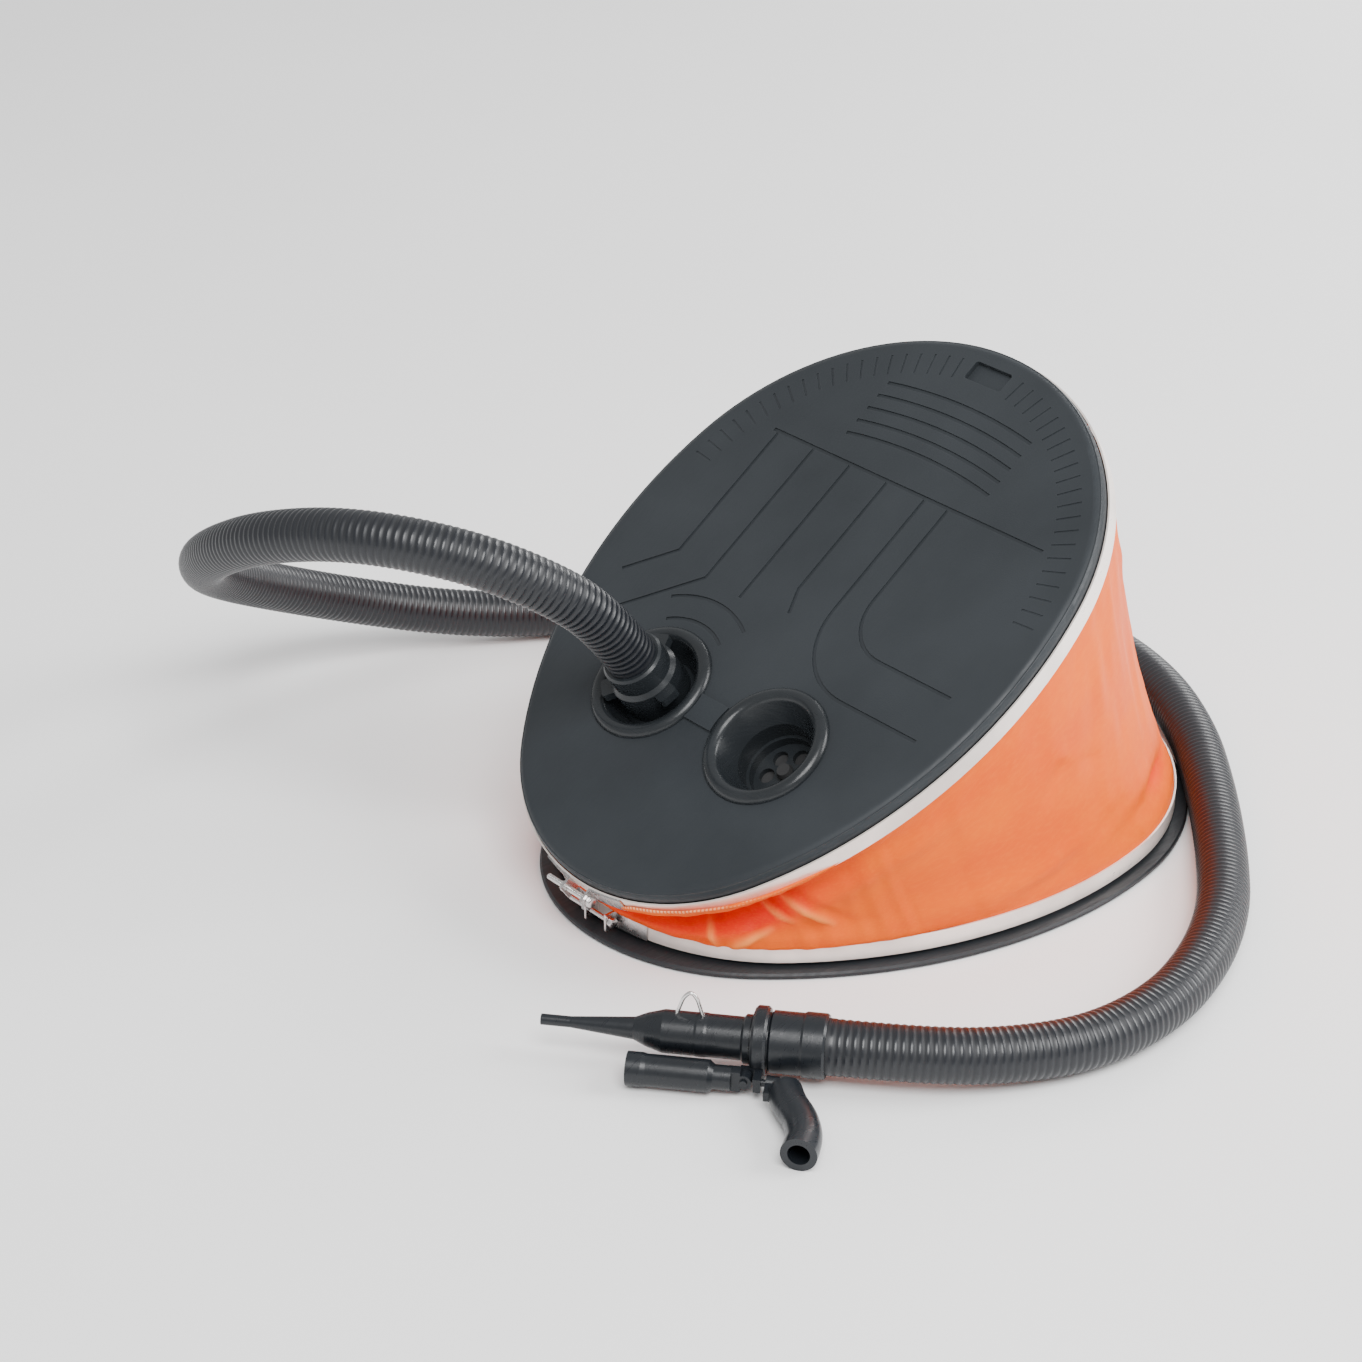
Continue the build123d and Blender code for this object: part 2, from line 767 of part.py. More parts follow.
loop_points = [
    nozzle_point(50, 0, 8.2),
    nozzle_point(52.5, 0, 17),
    nozzle_point(55, 0, 20),
    nozzle_point(58, 0, 17),
    nozzle_point(61, 0, 8.2),
]
with BuildPart() as nozzle_loop:
    with BuildLine() as loop_line:
        FilletPolyline(*loop_points, radius=bend_radii(loop_points))
    with BuildSketch(Plane(origin=loop_line.line @ 0, z_dir=loop_line.line % 0)):
        Circle(loop_wire / 2)
    sweep()
save(nozzle_loop, "nozzle_loop")

wide_axis = Plane(origin=nozzle_point(0, wide_side, pivot_rise), x_dir=up, z_dir=up.cross(heading))
with BuildPart() as wide_adapter:
    turned(
        wide_axis,
        [
            (wide_bore - 2, 36),
            (wide_bore - 0.5, 36),
            (wide_bore - 0.5, 43),
            (wide_radius, 45),
            (wide_radius, 70),
            (wide_mouth, 72),
            (wide_mouth, 78),
            (wide_bore, 78),
            (wide_bore, 60),
            (wide_bore - 2, 58),
        ],
    )
    wide_eye = nozzle_point(wide_pivot_along, wide_side + pivot_plate / 2, pivot_rise)
    with BuildSketch(Plane(origin=wide_eye, x_dir=heading, z_dir=-aside)):
        Circle(pivot_eye)
        with Locations((3.8, 0)):
            Rectangle(5, 9)
        Circle(pivot_radius + pin_clearance, mode=Mode.SUBTRACT)
    extrude(amount=pivot_plate)
save(wide_adapter, "wide_adapter")

curved_route = [(14, -22), (11, -30), (5, -40), (2, -51), (3, -62)]
curved_points = [nozzle_point(along, side, pivot_rise) for along, side in curved_route]
with BuildPart() as curved_adapter:
    with BuildLine() as curved_line:
        FilletPolyline(*curved_points, radius=bend_radii(curved_points))
    with BuildSketch(Plane(origin=curved_line.line @ 0, z_dir=curved_line.line % 0)):
        Circle(curved_radius)
        Circle(curved_bore, mode=Mode.SUBTRACT)
    sweep()
    with BuildSketch(Plane(origin=curved_line.line @ 1, z_dir=-(curved_line.line % 1))):
        Circle(curved_flare)
        Circle(curved_bore, mode=Mode.SUBTRACT)
    extrude(amount=5)
    curved_eye = nozzle_point(curved_pivot_along - 3, curved_side, pivot_rise)
    with BuildSketch(Plane(origin=curved_eye, x_dir=aside, z_dir=-heading)):
        Circle(pivot_eye)
        with Locations((-5.5, 0)):
            Rectangle(8, 4)
        Circle(pivot_radius + pin_clearance, mode=Mode.SUBTRACT)
    extrude(amount=pivot_plate)
save(curved_adapter, "curved_adapter")
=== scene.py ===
import json
import math
import random

import bpy
import numpy as np
from mathutils import Matrix, Vector, noise


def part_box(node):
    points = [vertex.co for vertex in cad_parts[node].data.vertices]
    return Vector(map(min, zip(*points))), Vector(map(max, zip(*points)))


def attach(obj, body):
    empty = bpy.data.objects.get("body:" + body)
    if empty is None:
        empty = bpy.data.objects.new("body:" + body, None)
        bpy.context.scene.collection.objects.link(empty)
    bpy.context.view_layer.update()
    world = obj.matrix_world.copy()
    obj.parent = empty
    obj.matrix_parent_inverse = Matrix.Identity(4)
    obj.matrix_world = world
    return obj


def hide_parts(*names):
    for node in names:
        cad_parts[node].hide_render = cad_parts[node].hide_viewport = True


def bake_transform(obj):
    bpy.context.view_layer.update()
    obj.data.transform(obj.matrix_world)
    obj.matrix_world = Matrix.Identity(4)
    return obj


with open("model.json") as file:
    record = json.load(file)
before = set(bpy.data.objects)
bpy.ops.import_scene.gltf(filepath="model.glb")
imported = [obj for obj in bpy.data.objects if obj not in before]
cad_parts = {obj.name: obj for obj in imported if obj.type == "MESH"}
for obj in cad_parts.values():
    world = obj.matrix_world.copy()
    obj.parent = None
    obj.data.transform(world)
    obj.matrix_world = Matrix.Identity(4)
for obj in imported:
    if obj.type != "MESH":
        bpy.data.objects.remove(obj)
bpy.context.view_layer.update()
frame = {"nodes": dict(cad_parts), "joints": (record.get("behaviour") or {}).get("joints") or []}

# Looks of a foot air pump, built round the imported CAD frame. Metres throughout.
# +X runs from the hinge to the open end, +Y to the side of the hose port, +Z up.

MM = 0.001


def link(obj):
    bpy.context.scene.collection.objects.link(obj)
    return obj


# ======================================================================================
# Camera
# ======================================================================================
# the place and the two directions come from fitting the plates and the hose to the photo's view
camera_place = Vector((-0.90535, -0.92118, 0.76464))
camera_right = Vector((0.75659, -0.65389, 0.0))
camera_up = Vector((0.31108, 0.35994, 0.87958))
camera_back = camera_right.cross(camera_up)
camera_data = bpy.data.cameras.new("camera")
camera_data.lens = 87.07
camera_data.sensor_width = 36.0
camera_data.clip_start = 0.05
camera_data.clip_end = 30.0
camera = link(bpy.data.objects.new("camera", camera_data))
turn = Matrix((camera_right, camera_up, camera_back)).transposed()
camera.matrix_world = Matrix.Translation(camera_place) @ turn.to_4x4()
bpy.context.scene.camera = camera

# ======================================================================================
# Places taken from the frame
# ======================================================================================
hinge_joint = next(j for j in frame["joints"] if j["name"] == "pedal_hinge")
hinge = Vector(hinge_joint["pos_m"])
open_angle = math.radians(hinge_joint["range_deg"][1])
pedal_x = Vector((math.cos(open_angle), 0, math.sin(open_angle)))
pedal_y = Vector((0, 1, 0))
pedal_z = Vector((-math.sin(open_angle), 0, math.cos(open_angle)))
plate_rise = 36 * MM  # from the hinge up to the pedal's top plane
pedal_origin = hinge - pedal_x * hinge.x + pedal_z * plate_rise


def on_pedal(u, v, w):
    """A point given along, across and above the pedal's top plane."""
    return pedal_origin + pedal_x * u + pedal_y * v + pedal_z * w


# ---- the plates' egg-shaped outline, as in the CAD ----
_, band_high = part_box("lower_band")
band_grow = 1.2 * MM
half_length = band_high.x - band_grow
half_width = band_high.y - band_grow
side_radius = 205 * MM
side_x = 14 * MM
side_y = side_radius - half_width
outline_steps = 4000


def end_arc(reach):
    """Radius of an end arc, and the direction in which it meets the side arcs."""
    radius = (side_radius**2 - side_y**2 - reach**2) / (2 * (side_radius - reach))
    return radius, math.atan2(side_y, reach - radius)


rear_radius, rear_lean = end_arc(half_length - side_x)
front_radius, front_lean = end_arc(half_length + side_x)
rear_x = half_length - rear_radius
front_x = front_radius - half_length


def oval_at(angle, grow=0.0):
    """The outline's point whose outward direction is the given angle from +X."""
    angle = math.remainder(angle, 2 * math.pi)
    if abs(angle) < rear_lean:
        centre, radius = (rear_x, 0), rear_radius
    elif abs(angle) > math.pi - front_lean:
        centre, radius = (front_x, 0), front_radius
    else:
        centre, radius = (side_x, math.copysign(side_y, -angle)), side_radius
    reach = radius + grow
    return (centre[0] + reach * math.cos(angle), centre[1] + reach * math.sin(angle))


def spread_angles(count, first, last, density):
    """Directions all the way round the outline, evenly spaced but denser from first to last."""
    fine = np.linspace(-math.pi, math.pi, outline_steps)
    places = np.array([oval_at(a) for a in fine])
    steps = np.linalg.norm(np.diff(places, axis=0), axis=1)
    steps *= np.where((fine[1:] > first) & (fine[1:] < last), density, 1)
    run = np.concatenate([[0], np.cumsum(steps)])
    return np.interp(np.linspace(0, run[-1], count), run, fine)


# ======================================================================================
# Mesh helpers
# ======================================================================================
def mesh_object(name, points, faces, uvs=None):
    """A smooth-shaded mesh object; uvs holds one pair for each corner of each face."""
    mesh = bpy.data.meshes.new(name)
    mesh.from_pydata([tuple(p) for p in points], [], faces)
    if uvs is not None:
        layer = mesh.uv_layers.new(name="UVMap")
        layer.data.foreach_set("uv", np.array(uvs, np.float32).ravel())
    mesh.shade_smooth()
    mesh.update()
    return link(bpy.data.objects.new(name, mesh))


def skin(name, rings, looped=True, capped=False, size=(1.0, 1.0), levels=None):
    """A mesh stretched over rings of points. size is the UV map's extent round and along."""
    levels = np.linspace(0, 1, len(rings)) if levels is None else levels
    count = len(rings[0])
    across = count if looped else count - 1
    points = [p for ring in rings for p in ring]
    faces = []
    uvs = []
    for r in range(len(rings) - 1):
        for c in range(across):
            d = (c + 1) % count
            faces.append((r * count + c, r * count + d, (r + 1) * count + d, (r + 1) * count + c))
            left, right = c / across * size[0], (c + 1) / across * size[0]
            low, high = float(levels[r] * size[1]), float(levels[r + 1] * size[1])
            uvs += [(left, low), (right, low), (right, high), (left, high)]
    if capped:
        last = (len(rings) - 1) * count
        faces.append(tuple(reversed(range(count))))
        faces.append(tuple(range(last, last + count)))
        uvs += [(0, 0)] * (2 * count)
    return mesh_object(name, points, faces, uvs)


def frames_along(points):
    """Tangents and a pair of normals that turn as little as possible along a line."""
    nearly_parallel = 1e-3
    tangents = np.gradient(points, axis=0)
    tangents /= np.linalg.norm(tangents, axis=1)[:, None]
    normal = np.cross(tangents[0], (0, 0, 1.0))
    if np.linalg.norm(normal) < nearly_parallel:
        normal = np.cross(tangents[0], (0, 1.0, 0))
    normals = []
    for t in tangents:
        normal = normal - t * (normal @ t)
        normal = normal / np.linalg.norm(normal)
        normals.append(normal)
    normals = np.array(normals)
    return tangents, normals, np.cross(tangents, normals)


def tube(name, line, radii, sides, capped=False, size=(1.0, 1.0)):
    """A round skin along a line, with a radius for each of its points."""
    _, side, rise = frames_along(line)
    angles = np.linspace(0, 2 * np.pi, sides, endpoint=False)
    circle = np.stack([np.cos(angles), np.sin(angles)], axis=1)
    rings = [
        [line[k] + radii[k] * (c * side[k] + s * rise[k]) for c, s in circle] for k in range(len(line))
    ]
    return skin(name, rings, capped=capped, size=size)


def set_blend(obj):
    """Bakes the object's placement into its mesh."""
    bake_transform(obj)


def resample(points, step):
    """Points evenly spaced along a line, and how far along it each one is."""
    run = np.concatenate([[0], np.cumsum(np.linalg.norm(np.diff(points, axis=0), axis=1))])
    along = np.linspace(0, run[-1], int(run[-1] / step) + 1)
    return np.stack([np.interp(along, run, points[:, k]) for k in range(3)], axis=1), along


# ======================================================================================
# Hose: a limp corrugated tube, from the outlet port to the nozzle set
# ======================================================================================
hose_diameter = 23 * MM
hose_sides = 32
rib_pitch = 3.1 * MM
rib_depth = 0.42 * MM
rib_sharpness = 0.7  # below 1 the valleys are narrower than the ridges
steps_per_rib = 7
straight_start = 0.028  # straight runs at the two ends
straight_end = 0.034
port_x = -61 * MM  # the outlet port's place on the pedal, and where the hose leaves its cuff
port_y = 37 * MM
cuff_top = 20 * MM
lying = 0.012  # height of the hose's middle line where it lies on the floor
hose_exit = on_pedal(port_x, port_y, cuff_top)
hose_end = Vector((-0.155, -0.142, 0.0155))
nozzle_turn = math.radians(129.5)
nozzle_heading = Vector((math.cos(nozzle_turn), math.sin(nozzle_turn), 0))
# control points of the hose's middle line, as in the CAD
route = [
    hose_exit,
    hose_exit + pedal_z * straight_start,
    (-0.144, 0.044, 0.145),
    (-0.173, 0.064, 0.162),
    (-0.202, 0.102, 0.167),
    (-0.215, 0.148, 0.153),
    (-0.214, 0.190, 0.130),
    (-0.199, 0.228, 0.104),
    (-0.170, 0.257, 0.078),
    (-0.130, 0.272, 0.053),
    (-0.086, 0.270, 0.032),
    (-0.044, 0.253, 0.018),
    (-0.004, 0.231, lying),
    (0.040, 0.206, lying),
    (0.083, 0.179, lying),
    (0.123, 0.149, lying),
    (0.158, 0.114, lying),
    (0.181, 0.071, lying),
    (0.187, 0.023, lying),
    (0.175, -0.024, lying),
    (0.150, -0.066, lying),
    (0.123, -0.098, lying),
    (0.099, -0.124, lying),
    (0.074, -0.149, lying),
    (0.046, -0.174, lying),
    (0.012, -0.194, lying),
    (-0.027, -0.207, lying),
    (-0.069, -0.206, lying),
    (-0.1055, -0.190, 0.0135),
    hose_end - nozzle_heading * straight_end,
    hose_end,
]


def spline_points(points):
    """The smooth line of a NURBS spline with these control points."""
    curve = bpy.data.curves.new("route", "CURVE")
    curve.dimensions = "3D"
    curve.resolution_u = 24
    spline = curve.splines.new("NURBS")
    spline.points.add(len(points) - 1)
    for control, place in zip(spline.points, points):
        control.co = (*place, 1)
    spline.order_u = 3
    spline.use_endpoint_u = True
    holder = link(bpy.data.objects.new("route", curve))
    bpy.context.view_layer.update()
    mesh = bpy.data.meshes.new_from_object(holder)
    places = np.array([v.co for v in mesh.vertices], float)
    bpy.data.objects.remove(holder)
    bpy.data.curves.remove(curve)
    bpy.data.meshes.remove(mesh)
    return places


def rib_radius(along, total):
    """The tube's radius: rounded ridges and narrow valleys, plain at both ends."""
    wave = 0.5 + 0.5 * np.cos(2 * np.pi * along / rib_pitch)
    plain = np.clip(np.minimum(along, total - along) / rib_pitch - 0.5, 0, 1)
    return hose_diameter / 2 - rib_depth * plain * (1 - wave**rib_sharpness)


def make_hose():
    """The corrugated tube along its route, with the nozzle set on its far end."""
    line, along = resample(spline_points(route), rib_pitch / steps_per_rib)
    radii = rib_radius(along, along[-1])
    hose = tube("hose_tube", line, radii, hose_sides, size=(np.pi * hose_diameter, along[-1]))
    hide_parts("hose")
    set_blend(hose)
    return hose


hose = make_hose()

# ======================================================================================
# Materials
# ======================================================================================
class Shader:
    """A node material with short ways to add textures to its Principled shader."""

    def __init__(self, name, color, roughness, metallic=0.0, **sockets):
        self.material = bpy.data.materials.new(name)
        self.material.use_nodes = True
        self.tree = self.material.node_tree
        self.shader = self.tree.nodes["Principled BSDF"]
        self.material.diffuse_color = (*color, 1)
        self.set(self.shader, {"Base Color": (*color, 1), "Roughness": roughness, "Metallic": metallic})
        self.set(self.shader, {k.replace("_", " "): v for k, v in sockets.items()})
        self.place = self.add("ShaderNodeTexCoord").outputs["Object"]

    def set(self, node, values):
        for key, value in values.items():
            if isinstance(value, bpy.types.NodeSocket):
                self.tree.links.new(value, node.inputs[key])
            else:
                node.inputs[key].default_value = value

    def add(self, kind, inputs=None, **settings):
        node = self.tree.nodes.new(kind)
        for key, value in settings.items():
            setattr(node, key, value)
        self.set(node, inputs or {})
        return node

    def use_uv(self):
        """Places from the UV map, in metres round and along, in place of the object's own."""
        self.place = self.add("ShaderNodeTexCoord").outputs["UV"]

    def stretched(self, scale):
        return self.add("ShaderNodeMapping", {"Vector": self.place, "Scale": scale}).outputs["Vector"]

    def noise(self, scale, detail=3.0, place=None):
        values = {"Vector": place or self.place, "Scale": scale, "Detail": detail}
        return self.add("ShaderNodeTexNoise", values).outputs["Fac"]

    def remap(self, value, low, high, to_low, to_high):
        values = {0: value, 1: low, 2: high, 3: to_low, 4: to_high}
        return self.add("ShaderNodeMapRange", values).outputs[0]

    def patches(self, scale, detail=5, low=0.35, high=0.65, to_low=0.0, to_high=1.0):
        """Soft patches of noise, from to_low between them to to_high inside them."""
        return self.remap(self.noise(scale, detail), low, high, to_low, to_high)

    def along(self, axis):
        """One coordinate of the place, such as X."""
        return self.add("ShaderNodeSeparateXYZ", {0: self.place}).outputs[axis]

    def attribute(self, name):
        return self.add("ShaderNodeAttribute", attribute_name=name).outputs["Fac"]

    def dot(self, a, b):
        return self.add("ShaderNodeVectorMath", {0: a, 1: b}, operation="DOT_PRODUCT").outputs["Value"]

    def math(self, operation, a, b=0.0):
        return self.add("ShaderNodeMath", {0: a, 1: b}, operation=operation).outputs[0]

    def mix(self, share, a, b):
        node = self.add("ShaderNodeMix", data_type="RGBA")
        self.set(node, {"Factor": share})
        for key, value in ((6, a), (7, b)):
            if isinstance(value, bpy.types.NodeSocket):
                self.tree.links.new(value, node.inputs[key])
            else:
                node.inputs[key].default_value = (*value, 1)
        return node.outputs[2]

    def bump(self, height, distance, strength=1.0, normal=None):
        values = {"Height": height, "Distance": distance, "Strength": strength}
        if normal is not None:
            values["Normal"] = normal
        return self.add("ShaderNodeBump", values).outputs["Normal"]

    def finish(self, **sockets):
        self.set(self.shader, {k.replace("_", " "): v for k, v in sockets.items()})
        return self.material


def scaled(color, factor, lift=0.0):
    """A lighter or darker version of a colour."""
    return tuple(min(1.0, c * factor + lift) for c in color)


def worn_edge(s, radius, reach):
    """1 where the surface turns sharply, broken up by noise, as rubbed edges are."""
    rounded = s.add("ShaderNodeBevel", {"Radius": radius}, samples=4).outputs["Normal"]
    flat = s.add("ShaderNodeNewGeometry").outputs["Normal"]
    edge = s.remap(s.dot(rounded, flat), low=0.995, high=0.9, to_low=0.0, to_high=1.0)
    patchy = s.patches(scale=90, detail=4, low=0.42, high=0.62, to_low=0.15)
    return s.math("MULTIPLY", s.math("MULTIPLY", edge, patchy), reach)


def plastic(name, color, roughness, grain=0.06 * MM, wear=0.35, specular=0.5):
    """Moulded plastic: fine texture, cloudy gloss, hairline scuffs and rubbed edges."""
    s = Shader(name, color, roughness, Specular_IOR_Level=specular)
    dark = scaled(color, factor=0.87)
    light = scaled(color, factor=1.14)
    rubbed = scaled(color, factor=1.5, lift=0.03)
    cloudy = s.mix(s.patches(scale=14), dark, light)
    worn = s.mix(worn_edge(s, radius=0.8 * MM, reach=wear), cloudy, rubbed)
    scuffs = s.noise(scale=60, detail=6, place=s.stretched((1, 14, 3)))
    gloss = s.remap(scuffs, low=0.3, high=0.75, to_low=roughness * 0.82, to_high=roughness * 1.3)
    fine = s.bump(s.noise(scale=1500, detail=2), distance=grain, strength=0.8)
    relief = s.bump(s.noise(scale=220, detail=3), distance=grain * 1.5, strength=0.5, normal=fine)
    return s.finish(Base_Color=worn, Roughness=gloss, Normal=relief)


def metal(name, color, roughness, stretch, grain=0.03 * MM, metallic=1.0):
    """Bright metal with fine drawn lines, smudges and a few darker spots."""
    s = Shader(name, color, roughness, metallic=metallic)
    lines = s.noise(scale=260, detail=4, place=s.stretched(stretch))
    smudge = s.noise(scale=30, detail=5)
    dulled = s.remap(smudge, low=0.45, high=0.72, to_low=0.0, to_high=0.8)
    tint = s.mix(dulled, color, scaled(color, factor=0.72))
    rough = s.math("ADD", s.math("MULTIPLY", lines, 0.6), s.math("MULTIPLY", smudge, 0.4))
    gloss = s.remap(rough, low=0.3, high=0.7, to_low=roughness * 0.7, to_high=roughness * 1.5)
    relief = s.bump(lines, distance=grain, strength=0.6)
    return s.finish(Base_Color=tint, Roughness=gloss, Normal=relief)


def make_port_plastic():
    """Smooth black plastic, with painted light down inside the ports, lighter where less light comes.
    """
    dark_lip = (0.011, 0.013, 0.015)
    light_lip = (0.016, 0.019, 0.022)
    # painted light: a lighter colour down inside the ports
    painted_light_inside = (0.018, 0.021, 0.024)
    s = Shader("port_plastic", color=(0.013, 0.015, 0.017), roughness=0.26, Specular_IOR_Level=0.35)
    top = pedal_origin.dot(pedal_z)
    height = s.dot(s.place, pedal_z)
    # share of that painted light, by depth below the pedal's top
    inside = s.remap(height, low=top - 9 * MM, high=top + 1 * MM, to_low=1.0, to_high=0.0)
    lip = s.mix(s.patches(scale=30), dark_lip, light_lip)
    tint = s.mix(inside, lip, painted_light_inside)
    scuffs = s.noise(scale=70, detail=5, place=s.stretched((1, 1, 9)))
    gloss = s.remap(scuffs, low=0.3, high=0.75, to_low=0.2, to_high=0.36)
    relief = s.bump(s.noise(scale=900, detail=2), distance=0.02 * MM, strength=0.6)
    return s.finish(Base_Color=tint, Roughness=gloss, Normal=relief)


def rubber(name, color):
    """Dull rubber with a little dust on it."""
    s = Shader(name, color, roughness=0.65)
    dust = s.patches(scale=40, low=0.45, high=0.75, to_high=0.6)
    dusty = s.mix(dust, color, scaled(color, factor=1.0, lift=0.05))
    relief = s.bump(s.noise(scale=900, detail=3), distance=0.08 * MM, strength=0.7)
    return s.finish(Base_Color=dusty, Normal=relief)


pedal_plastic = plastic(
    "pedal_plastic", color=(0.0245, 0.0283, 0.0322), roughness=0.42, wear=0.2, specular=0.22
)
base_plastic = plastic("base_plastic", color=(0.018, 0.020, 0.023), roughness=0.46, specular=0.3)
nozzle_plastic = plastic(
    "nozzle_plastic",
    color=(0.009, 0.011, 0.014),
    roughness=0.30,
    grain=0.04 * MM,
    wear=0.15,
    specular=0.4,
)
port_plastic = make_port_plastic()
steel = metal("steel", color=(0.66, 0.64, 0.63), roughness=0.24, stretch=(1, 1, 1))
# the warm cream colour is partly the band's own and partly a painted reflection of the orange fabric
band_metal = metal(
    "band_metal", color=(1.0, 0.91, 0.85), roughness=0.34, stretch=(1, 1, 12), metallic=0.5
)
black_rubber = rubber("black_rubber", color=(0.022, 0.022, 0.023))


def make_hose_material():
    """Black corrugated plastic, dusty in its valleys and polished on its ridges."""
    polished = (0.0055, 0.007, 0.0105)
    dusty = (0.012, 0.013, 0.015)
    s = Shader("hose_plastic", color=(0.024, 0.027, 0.032), roughness=0.36)
    s.use_uv()
    phase = s.math("MULTIPLY", s.along("Y"), 2 * math.pi / rib_pitch)
    ridge = s.remap(s.math("COSINE", phase), low=-1.0, high=1.0, to_low=0.0, to_high=1.0)
    valley = s.math("SUBTRACT", 1.0, ridge)
    cloud = s.patches(scale=35, high=0.7)
    dust = s.math("MULTIPLY", valley, s.math("ADD", 0.25, s.math("MULTIPLY", cloud, 0.5)))
    tint = s.mix(dust, polished, dusty)
    gloss = s.remap(ridge, low=0.0, high=1.0, to_low=0.55, to_high=0.27)
    relief = s.bump(s.noise(scale=1200, detail=2), distance=0.05 * MM, strength=0.6)
    return s.finish(Base_Color=tint, Roughness=gloss, Normal=relief)


hose.data.materials.append(make_hose_material())

# ======================================================================================
# Bellows: a sleeve of coated fabric, taut at the open end and folded at the hinge
# ======================================================================================
band_width = 8 * MM
base_top = 13 * MM  # the lower band's upper edge
skirt = -14 * MM  # the upper band's lower edge, from the pedal's top plane
tuck = 3 * MM  # how far the fabric goes in behind each band
fabric_grow = -0.2 * MM  # how far outside the plates' outline it starts
cloth_thickness = 0.8 * MM
uv_height = 0.18
columns = 420
rows = 44
dense_from = math.radians(-178)  # the columns stand closer together between these two directions
dense_to = math.radians(-112)
density = 2.5
row_power = 1.4  # above 1 the rows lie closer together under the upper band
steps_up = 1 - (1 - np.linspace(0, 1, rows + 1)) ** row_power
ring_levels = np.concatenate([[0], steps_up, [1]])
sim_share = 0.3  # how far the sleeve's open end goes from its drawn shape to the simulated one
sim_from = 45 * MM  # the gap between the bands where that starts
sim_over = 35 * MM  # the further gap that would make it a share of 1
fold_gap = 24 * MM  # where the bands are closer than this, the fold's shape shrinks
least_shrink = 0.4
waist = 0.022  # how far the sleeve pulls in half way up, as a share of the gap
wander_rate = 5  # slow noise that changes the fold round the outline
wander_height = 4.2
wander_level = 0.15  # how much it moves the fold up and down
wander_depth = 0.35  # how much it changes the fold's depth


def sleeve_columns():
    """Each column's direction, its place on either band, and the way out from there."""
    angles = spread_angles(columns + 1, dense_from, dense_to, density)[:-1]
    low = np.array([(*oval_at(a, fabric_grow), base_top) for a in angles])
    high = np.array([on_pedal(*oval_at(a, fabric_grow), skirt) for a in angles])
    out = np.array([(math.cos(a), math.sin(a), 0) for a in angles])
    return angles, low, high, out


# the fold's section in mm. Going down from the upper band: a lip that laps over the band, then a
# deep valley. Going up from the lower band: a ridge that sags over the band.
lip_out = ([0, 0.6, 2.6, 3.6, 5], [0, 3.5, 4.3, 2.4, 0])
lip_up = ([0, 0.4, 1.4, 2.6, 3.6, 5], [0, 4.6, 6.6, 3.8, 1.0, 0])
valley_out = ([3, 4.6, 7, 10, 14, 18], [0, -6, -14, -13, -5.5, 0])
# painted shade: how deep red the valley is, by the distance below the upper band
valley_shade = ([2.4, 3.8, 16, 23], [0, 1, 0.9, 0])
sag_out = ([0, 0.7, 2.5, 6, 10, 14], [0, 1.7, 3.1, 3.4, 1.6, 0])
sag_down = ([0, 0.8, 2.2, 4, 6], [0, -1.2, -2.0, -0.8, 0])
# how strong each one is, by the gap between the bands in mm
lip_strength = ([18, 30, 40, 55, 75], [1, 0.7, 0.45, 0.2, 0])
lip_side = ([-171, -163, -90, -80], [0, 1, 1, 0])  # directions in degrees that have a lip
lip_push = ([0, 0.5], [0, 1])  # how far out the lip comes, by its strength
valley_strength = ([10, 16, 34, 44, 58], [0.4, 0.9, 1, 0.45, 0])
sag_strength = ([10, 18, 40, 60, 90], [0.5, 1, 1, 0.5, 0])
hem = ([0.7, 1.1, 1.5, 1.9], [0, 1, 1, 0])  # where the lip is stitched
hem_strength = ([0.4 / 1.5, 1.4 / 1.5], [0, 1])  # how strong the stitches are, by the lip's strength


def table(values, line):
    """The values looked up along a line drawn in mm."""
    return np.interp(values / MM, *line)


def wander(angle, level):
    """Slow noise round the outline, a little different at each level."""
    across, along = math.cos(angle) * wander_rate, math.sin(angle) * wander_rate
    return noise.noise(Vector((across, along, wander_height + level)))


def cloth_rows():
    """The sleeve before it settles: straight at the open end, folded near the hinge."""
    angles, low, high, out = sleeve_columns()
    gap = np.linalg.norm(high - low, axis=1)
    shrink = np.clip(gap / fold_gap, least_shrink, 1)
    lip = table(gap, lip_strength) * np.interp(np.degrees(angles), *lip_side)
    valley = table(gap, valley_strength)
    sag = table(gap, sag_strength)
    upward = np.array(pedal_z)
    places = []
    tints = []
    hems = []
    for level in steps_up:
        drift = np.array([wander(a, level) for a in angles])
        below = (1 - level) * gap / shrink * (1 + wander_level * drift)
        above = level * gap / shrink
        push = np.interp(lip, *lip_push) * table(below, lip_out)
        push = push + valley * table(below, valley_out) * (1 + wander_depth * drift)
        push = (push + sag * table(above, sag_out)) * MM * shrink
        push = push - waist * gap * math.sin(math.pi * level)
        climb = lip * table(below, lip_up) * MM * shrink
        row = low + (high - low) * level + out * push[:, None] + upward * climb[:, None]
        row[:, 2] += sag * table(above, sag_down) * MM * shrink
        places.append(row)
        # painted shade: each point's share of deep red in the valley
        tints.append(valley * table(below, valley_shade))
        hems.append(np.interp(lip, *hem_strength) * table(below, hem))
    return np.array(places), np.array(tints), np.array(hems)


fold_rows, fold_shade_shares, hem_shares = cloth_rows()


